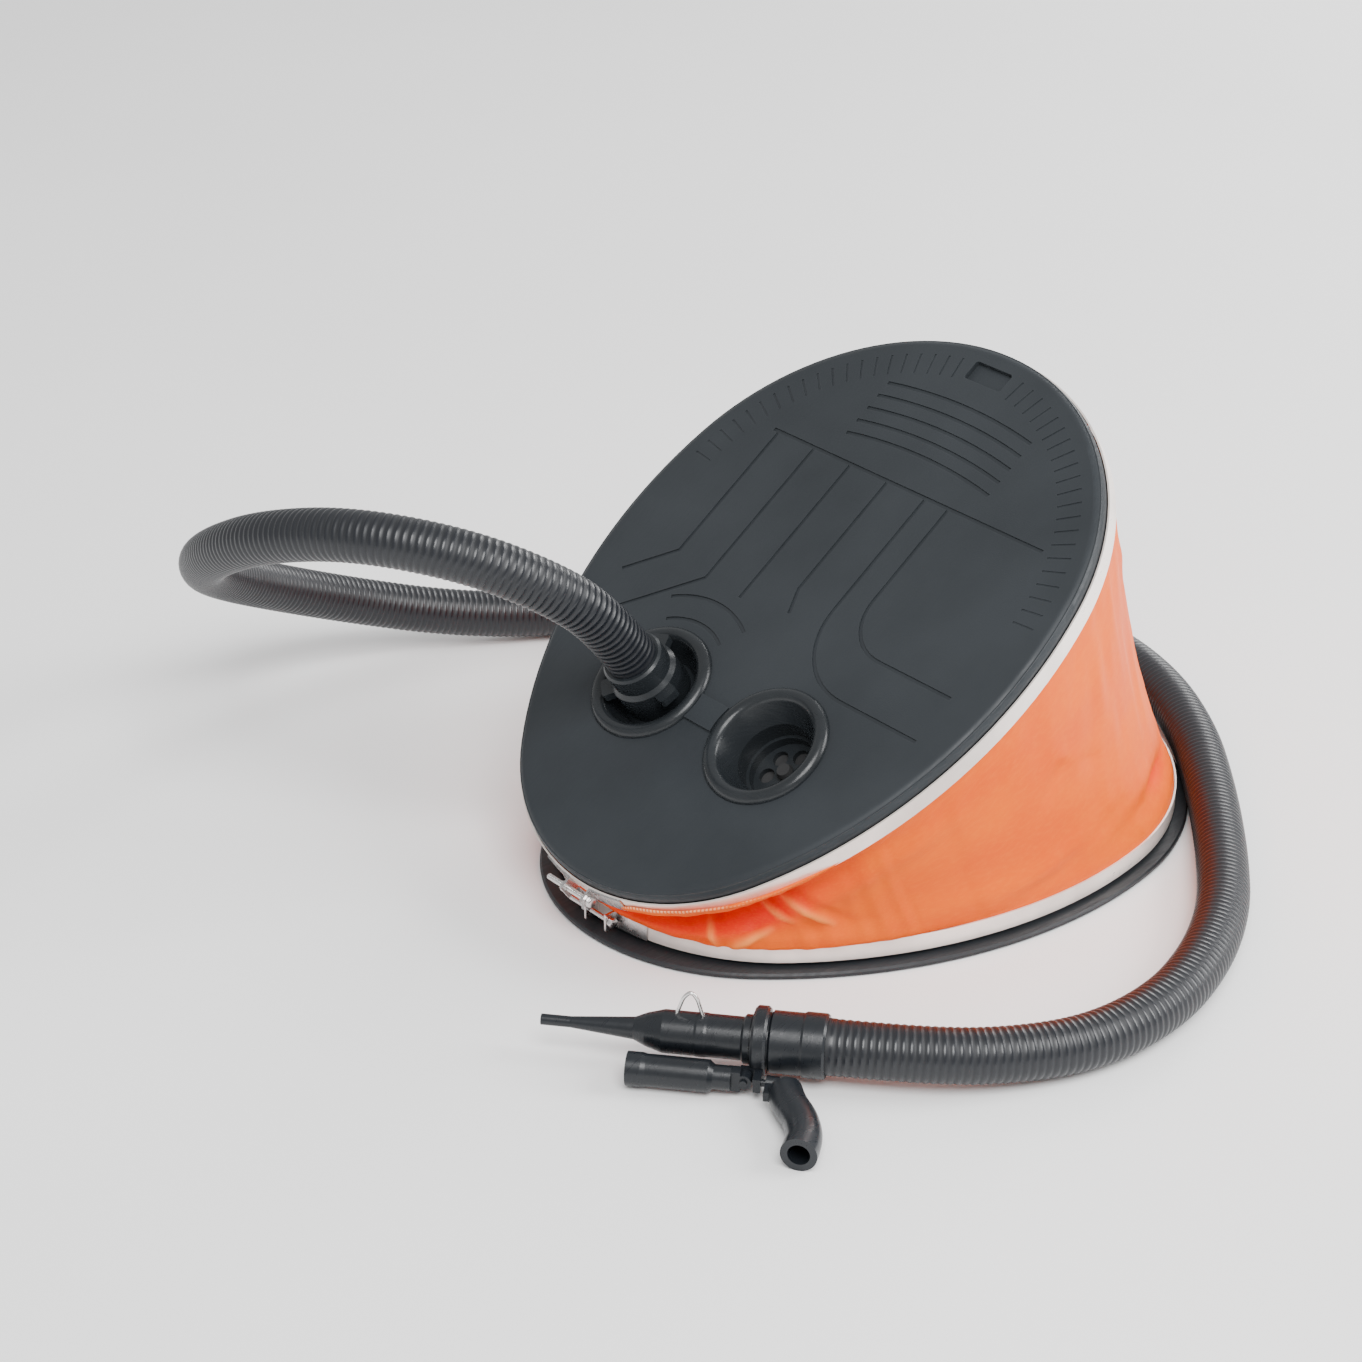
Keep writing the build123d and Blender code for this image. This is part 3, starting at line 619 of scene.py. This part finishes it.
def simulate_sleeve(sleeve, pinned):
    """Lets the sleeve settle as cloth held by both bands."""
    last_frame = 24
    group = sleeve.vertex_groups.new(name="held")
    group.add(pinned, 1.0, "REPLACE")
    cloth = sleeve.modifiers.new("cloth", "CLOTH")
    cloth.settings.quality = 6
    cloth.settings.mass = 0.25
    cloth.settings.tension_stiffness = 25
    cloth.settings.compression_stiffness = 12
    cloth.settings.shear_stiffness = 8
    cloth.settings.bending_stiffness = 0.8
    cloth.settings.air_damping = 3
    cloth.settings.vertex_group_mass = "held"
    cloth.settings.use_pressure = True
    cloth.settings.uniform_pressure_force = 0.12
    cloth.settings.shrink_min = -0.012
    cloth.settings.effector_weights.gravity = 0.3
    cloth.collision_settings.use_collision = False
    cloth.point_cache.frame_start = 1
    cloth.point_cache.frame_end = last_frame
    for step in range(1, last_frame + 1):
        bpy.context.scene.frame_set(step)
    graph = bpy.context.evaluated_depsgraph_get()
    settled = sleeve.evaluated_get(graph)
    places = np.array([v.co for v in settled.data.vertices], float)
    sleeve.modifiers.remove(cloth)
    bpy.context.scene.frame_set(1)
    return places


def crease(run, climb, start, end, width, height):
    """A ridge, or a valley if its height is below 0, along a straight stretch of the sleeve."""
    (x0, y0), (x1, y1) = start, end
    span_x, span_y = x1 - x0, y1 - y0
    share = np.clip(((run - x0) * span_x + (climb - y0) * span_y) / (span_x**2 + span_y**2), 0, 1)
    away = np.hypot(run - x0 - share * span_x, climb - y0 - share * span_y)
    along = np.clip(share, least_share, 1 - least_share)
    fade = end_height + (1 - end_height) * np.sin(np.pi * along)
    return height * fade * np.exp(-((away / width) ** 2))


end_height = 0.35  # how high a crease is at its two ends
least_share = 0.02
sharp_width = 2.0  # creases narrower than this get a painted highlight, a pale top
pocket_depth = -2.2  # creases deeper than this get painted shade, deep red
pocket_shade_share = 0.8  # how strong that painted shade is
# each crease: direction in degrees and share of the height at either end, width and height in mm
side_creases = [
    (-147, 0.50, -146, 0.12, 1.3, 1.6),
    (-142, 0.10, -131, 0.36, 1.4, 2.2),
    (-140, 0.24, -130, 0.46, 2.2, -1.4),
    (-131.5, 0.72, -127, 0.42, 1.3, 2.2),
    (-130, 0.72, -125.5, 0.40, 2.4, -1.5),
    (-127, 0.76, -122.5, 0.30, 1.6, 2.4),
    (-125, 0.74, -120.5, 0.30, 2.6, -1.4),
    (-150, 0.86, -112, 0.90, 3.0, -1.6),
    (-122, 0.60, -104, 0.78, 5.0, 1.6),
    (-118, 0.22, -98, 0.16, 6.0, 1.2),
    (-104, 0.14, -76, 0.17, 6.0, 2.0),
    (-80, 0.13, -58, 0.10, 3.0, -2.1),
    (-64, 0.13, -47, 0.10, 4.5, -4.0),
    (-98, 0.08, -62, 0.24, 3.5, -1.7),
    (-80, 0.22, -60, 0.19, 7.0, 2.2),
    (-91, 0.50, -86, 0.60, 3.0, -1.4),
    (-88, 0.66, -85, 0.56, 3.5, 1.2),
    (-84, 0.52, -80, 0.44, 3.0, -1.0),
    (-78, 0.98, -76, 0.45, 4.0, 0.6),
    (-73, 0.98, -70, 0.35, 4.0, -0.6),
    (-66, 0.98, -64, 0.50, 4.5, 0.6),
    (-60, 0.98, -57, 0.40, 5.0, -0.6),
]

# the random creases on the other sides
random_seed = 11
random_count = 34
random_sides = (-50, 178)  # directions in degrees
random_levels = (0.08, 0.5, 0.9)
random_lean = 7  # most difference in direction between the ends, and most difference in level
random_climb = 0.25
random_shift = 0.05
random_widths = (3, 7)
random_height = 1.4
# the small gathers beside the bands
gather_rate = 160
gather_spot = (0.5, 2.0)
gather_height = 0.72 * MM
gather_reach = ((0.0, 9 * MM), (1.0, 14 * MM))  # level of each band, and how far from it they reach
edge_hold = 3 * MM  # creases fade out this close to a band
crease_gap = 26 * MM  # and where the bands are closer than this


def random_creases():
    """More soft creases for the sides that are seen less, from a fixed seed."""
    draw = random.Random(random_seed)

    def either_way(most):
        return draw.uniform(-most, most)

    made = []
    for _ in range(random_count):
        angle = draw.uniform(*random_sides)
        level = draw.choice(random_levels) + either_way(random_shift)
        end_angle = angle + either_way(random_lean)
        end_level = level + either_way(random_climb)
        width = draw.uniform(*random_widths)
        made.append((angle, level, end_angle, end_level, width, either_way(random_height)))
    return made


def crease_depths(angles, gap, run):
    """How far creases push each point of the sleeve outwards, and its shares of painted highlight and
    of painted shade.
    """
    climb = ring_levels[:, None] * gap[None, :]
    around = np.broadcast_to(run[None, :], climb.shape)
    push = np.zeros_like(climb)
    # shares of painted highlight and of painted shade
    rubbed = np.zeros_like(climb)
    pocket = np.zeros_like(climb)
    for start, low, end, high, width, height in side_creases + random_creases():
        ends = []
        for degrees, level in ((start, low), (end, high)):
            angle = math.radians(degrees)
            ends.append((np.interp(angle, angles, run), level * np.interp(angle, angles, gap)))
        ridge = crease(around, climb, *ends, width * MM, height * MM)
        push += ridge
        # painted highlight on the sharp crease ridges
        if width < sharp_width:
            rubbed += ridge / (height * MM)
        # painted shade: deep red in the deep crease valleys
        if height < pocket_depth:
            pocket += ridge / (height * MM)
    gathers = np.array([noise.noise(Vector((r * gather_rate, *gather_spot))) for r in run])
    for level, reach in gather_reach:
        distance = np.abs(climb - level * gap[None, :]) / reach
        push += gather_height * gathers[None, :] * distance * np.exp(1 - distance)
    hold = np.clip(np.minimum(climb, gap[None, :] - climb) / edge_hold, 0, 1)
    push *= hold * np.clip(gap / crease_gap, 0, 1)[None, :]
    return push.ravel(), np.clip(rubbed, 0, 1).ravel(), pocket_shade_share * np.clip(pocket, 0, 1).ravel()


def make_sleeve():
    """The sleeve with its creases, and each point's share of painted highlight on sharp ridges and of
    painted shade in deep pockets.
    """
    angles, low, high, out = sleeve_columns()
    tucked_low = low - np.array((0, 0, tuck))
    tucked_high = high + np.array(pedal_z) * tuck
    rings = [tucked_low, *fold_rows, tucked_high]
    steps = np.linalg.norm(np.diff(np.vstack([low, low[:1]]), axis=0), axis=1)
    run = np.concatenate([[0], np.cumsum(steps)[:-1]])
    gap = np.linalg.norm(high - low, axis=1)
    sleeve = skin("bellows_sleeve", rings, size=(float(steps.sum()), uv_height), levels=ring_levels)
    count = len(angles)
    total = len(rings)
    pinned = [*range(2 * count), *range((total - 2) * count, total * count)]
    drawn = np.array([v.co for v in sleeve.data.vertices], float)
    settled = simulate_sleeve(sleeve, pinned)
    trust = np.tile(np.clip((gap - sim_from) / sim_over, 0, sim_share), total)[:, None]
    places = drawn + (settled - drawn) * trust
    sleeve.data.vertices.foreach_set("co", places.astype(np.float32).ravel())
    places = np.array([v.co for v in sleeve.data.vertices], float)
    normals = np.array([v.normal for v in sleeve.data.vertices], float)
    facing = np.sign(np.sum(normals * np.tile(out, (total, 1)), axis=1).mean())
    # rubbed holds the painted highlight share, pocket the painted shade share
    push, rubbed, pocket = crease_depths(angles, gap, run)
    places += normals * facing * push[:, None]
    sleeve.data.vertices.foreach_set("co", places.astype(np.float32).ravel())
    sleeve.data.update()
    return sleeve, rubbed, pocket


def make_fabric():
    """Coated woven cloth: fine weave, painted shade of deep red in the folds, pale painted highlights
    on the sharp ridges, stitches.
    """
    dark_orange = (0.80, 0.098, 0.0)
    light_orange = (0.86, 0.128, 0.0)
    # painted shade: the deep red of the folds
    fold_shade_red = (0.88, 0.008, 0.002)
    grain_orange = (0.95, 0.24, 0.02)
    # painted highlight: the pale orange of the sharp ridges
    highlight_orange = (1.0, 0.36, 0.08)
    stitch_color = (0.95, 0.52, 0.30)
    s = Shader(
        "bellows_fabric",
        color=(0.93, 0.24, 0.045),
        roughness=0.5,
        Specular_IOR_Level=0.1,
        Coat_Weight=0.03,
        Coat_Roughness=0.3,
    )
    s.use_uv()
    thread = 0.55 * MM
    waves_per_unit = 3.2  # how a wave texture's scale turns into a distance
    stitch_pitch = 3.4 * MM
    stitch_share = 0.55
    threads = []
    for direction in "XY":
        values = {"Vector": s.place, "Scale": 1 / (thread * waves_per_unit), "Distortion": 0.3}
        threads.append(s.add("ShaderNodeTexWave", values, bands_direction=direction).outputs["Fac"])
    weave = s.math("MULTIPLY", *threads)
    cloud = s.patches(scale=22)
    base = s.mix(cloud, dark_orange, light_orange)
    # painted shade: deep red in the fold valleys and the deep crease pockets
    deep = s.mix(s.attribute("fold"), base, fold_shade_red)
    grains = s.patches(scale=300, detail=4, low=0.45, high=0.75, to_high=0.22)
    worn = s.mix(grains, deep, grain_orange)
    # painted highlight: pale orange on the sharp crease ridges
    rubbed = s.mix(s.math("MULTIPLY", s.attribute("ridge"), 0.75), worn, highlight_orange)
    along_stitch = s.math("MODULO", s.along("X"), stitch_pitch)
    dash = s.math("LESS_THAN", along_stitch, stitch_share * stitch_pitch)
    sewn = s.mix(s.math("MULTIPLY", dash, s.attribute("hem")), rubbed, stitch_color)
    coarse = s.bump(s.noise(scale=160, detail=4), distance=0.18 * MM, strength=0.5)
    fine = s.bump(weave, distance=0.06 * MM, strength=0.6, normal=coarse)
    gloss = s.remap(cloud, low=0, high=1, to_low=0.42, to_high=0.56)
    return s.finish(Base_Color=sewn, Roughness=gloss, Normal=fine)


def set_share(obj, name, values):
    """A value for each point, which the fabric's material reads."""
    obj.data.attributes.new(name, "FLOAT", "POINT").data.foreach_set("value", values.astype(np.float32))


def with_tucks(shares):
    """Values of the rows, with the first and the last given to the tucked-in edges too."""
    return np.vstack([shares[:1], shares, shares[-1:]]).ravel()


sleeve, sleeve_highlight, sleeve_pocket_shade = make_sleeve()
sleeve.data.materials.append(make_fabric())
# the fold share is painted shade, deep red in the valleys and pockets
set_share(sleeve, "fold", np.maximum(with_tucks(fold_shade_shares), sleeve_pocket_shade))
set_share(sleeve, "hem", with_tucks(hem_shares))
# the ridge share is painted highlight on the sharp creases
set_share(sleeve, "ridge", sleeve_highlight)
thick = sleeve.modifiers.new("thickness", "SOLIDIFY")
thick.thickness = cloth_thickness
thick.offset = 0
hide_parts("bellows")
set_blend(sleeve)

# ======================================================================================
# Clamp bolts, with a thread and a chamfered head
# ======================================================================================
bolt_radius = 1.3 * MM
bolt_stand_off = 3.8 * MM  # from the band's outside to the bolt's middle
bolt_u = -half_length - band_grow - bolt_stand_off
thread_pitch = 0.7 * MM
thread_depth = 0.16 * MM
head_radius = 2.5 * MM
head_start = -9.4 * MM  # places across the pump, of the head's two faces and the bolt's end
head_end = -7.2 * MM
bolt_end = 20 * MM
head_steps = 12
chamfer = 0.5 * MM
bolt_taper = 0.6 * MM
bolt_sides = 36
steps_per_turn = 6


def head_radii(angles, rise, drop):
    """A hexagon's radii, cut back towards its two ends by a chamfer."""
    flat = head_radius * math.cos(math.pi / 6)
    hexagon = flat / np.cos(np.mod(angles, math.pi / 3) - math.pi / 6)
    return np.minimum(hexagon, head_radius - chamfer + min(rise, drop))


def shank_radii(angles, along):
    """Radii round the shank, where the thread winds once in a pitch."""
    wave = 0.5 + 0.5 * np.cos(2 * np.pi * along / thread_pitch + angles)
    taper = max(0.0, along - bolt_end + bolt_taper)
    return bolt_radius - thread_depth * wave - taper


def make_bolt(name, node, body, spot, height):
    """A bolt across the clamp; spot turns along, across and up into a place."""
    angles = np.linspace(0, 2 * np.pi, bolt_sides, endpoint=False)
    rings = []
    for along in np.linspace(head_start, head_end, head_steps):
        rings.append((along, head_radii(angles, along - head_start, head_end - along)))
    for along in np.arange(head_end, bolt_end, thread_pitch / steps_per_turn):
        rings.append((along, shank_radii(angles, along)))
    points = [
        [spot(bolt_u + r * math.cos(a), along, height + r * math.sin(a)) for a, r in zip(angles, radii)]
        for along, radii in rings
    ]
    bolt = skin(name, points, capped=True)
    bolt.data.materials.append(steel)
    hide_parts(node)
    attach(bolt, body)


def on_base(x, y, z):
    """A point given in the base's own directions."""
    return Vector((x, y, z))


make_bolt("lower_bolt", "lower_clamp_bolt", "base", on_base, base_top - band_width / 2)
make_bolt("upper_bolt", "upper_clamp_bolt", "pedal", on_pedal, skirt + band_width / 2)

# ======================================================================================
# Return spring, whose middle line curves about the hinge from one plate to the other
# ======================================================================================
spring_wire = 3 * MM
spring_radius = 22 * MM
spring_turns = 8
spring_turn_steps = 40
spring_sides = 14
flat_turns = 0.75  # turns at either end that don't climb
spring_low = Vector((148 * MM, 0, -6.4 * MM))  # middle of the end coils, from the hinge
spring_high = Vector((148 * MM, 0, 30.4 * MM))


def make_spring():
    """A wire wound about the middle line, tilted with the pedal as it climbs."""
    turns = np.linspace(0, spring_turns, spring_turns * spring_turn_steps + 1)
    climb = np.clip((turns - flat_turns) / (spring_turns - 2 * flat_turns), 0, 1)
    reach = spring_low.length + climb * (spring_high.length - spring_low.length)
    start = math.atan2(spring_low.z, spring_low.x)
    end = math.atan2(spring_high.z, spring_high.x) + open_angle
    angle = start + climb * (end - start)
    out = spring_radius * np.cos(2 * np.pi * turns)
    line = np.stack(
        [
            hinge.x + reach * np.cos(angle) + out * np.cos(climb * open_angle),
            spring_radius * np.sin(2 * np.pi * turns),
            hinge.z + reach * np.sin(angle) + out * np.sin(climb * open_angle),
        ],
        axis=1,
    )
    radii = np.full(len(line), spring_wire / 2)
    spring = tube("coil_spring", line, radii, spring_sides, capped=True)
    spring.data.materials.append(steel)
    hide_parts("return_spring")
    set_blend(spring)


make_spring()

# ======================================================================================
# Finishes of the CAD pieces
# ======================================================================================
finishes = {
    "pedal_plate": pedal_plastic,
    "base_plate": base_plastic,
    "base_pads": black_rubber,
    "hinge_pin": steel,
    "hinge_clips": steel,
    "lower_band": band_metal,
    "upper_band": band_metal,
    "lower_band_tongue": band_metal,
    "upper_band_tongue": band_metal,
    "lower_band_brackets": steel,
    "upper_band_brackets": steel,
    "lower_clamp_nut": steel,
    "upper_clamp_nut": steel,
    "outlet_cup": port_plastic,
    "inlet_cup": port_plastic,
    "inlet_valve": black_rubber,
    "outlet_valve": black_rubber,
    "hose_cuff": port_plastic,
    "hose_end_cuff": nozzle_plastic,
    "adapter_ring": nozzle_plastic,
    "main_nozzle": nozzle_plastic,
    "nozzle_loop": steel,
    "wide_adapter": nozzle_plastic,
    "curved_adapter": nozzle_plastic,
}
for node, finish in finishes.items():
    piece = frame["nodes"][node]
    piece.data.materials.clear()
    piece.data.materials.append(finish)
sharp_edge = 50  # edges that turn by more degrees than this are rounded
rounded_edges = {  # in mm
    "lower_band_brackets": 0.25,
    "upper_band_brackets": 0.25,
    "lower_clamp_nut": 0.3,
    "upper_clamp_nut": 0.3,
    "lower_band": 0.3,
    "upper_band": 0.3,
    "hinge_clips": 0.2,
}
for node, width in rounded_edges.items():
    bevel = frame["nodes"][node].modifiers.new("rounded", "BEVEL")
    bevel.width = width * MM
    bevel.segments = 2
    bevel.limit_method = "ANGLE"
    bevel.angle_limit = math.radians(sharp_edge)

# ======================================================================================
# Floor and light
# ======================================================================================
def grey(level):
    return (level, level, level)


def make_floor():
    """A plain pale floor, a little uneven in its colour."""
    span = 6.0
    steps = 24
    side = np.linspace(-span / 2, span / 2, steps)
    floor = skin("floor", [[(x, y, 0.0) for x in side] for y in side], looped=False, size=(span, span))
    s = Shader("floor_paint", color=grey(0.93), roughness=0.7)
    pale = s.mix(s.patches(scale=3, detail=3, low=0.3, high=0.7), grey(0.92), grey(0.95))
    floor.data.materials.append(s.finish(Base_Color=pale))


def add_light(name, away, size, power):
    """A soft rectangular lamp that points at the pump's middle."""
    data = bpy.data.lights.new(name, "AREA")
    data.shape = "RECTANGLE"
    data.size, data.size_y = size
    data.energy = power
    lamp = link(bpy.data.objects.new(name, data))
    lamp.location = middle + Vector(away)
    lamp.rotation_mode = "QUATERNION"
    lamp.rotation_quaternion = (-Vector(away)).to_track_quat("-Z", "Y")


middle = Vector((0, 0, 0.09))
sky_strength = 0.8
make_floor()
add_light("key_light", away=(-0.8, -1.2, 1.9), size=(1.3, 1.3), power=66)
add_light("side_light", away=(1.2, -1.1, 0.9), size=(0.9, 1.2), power=38)
add_light("rear_light", away=(1.7, 0.6, 0.8), size=(0.7, 0.9), power=16)
world = bpy.data.worlds.new("studio")
world.use_nodes = True
background = world.node_tree.nodes["Background"]
background.inputs["Color"].default_value = (*grey(1), 1)
background.inputs["Strength"].default_value = sky_strength
bpy.context.scene.world = world
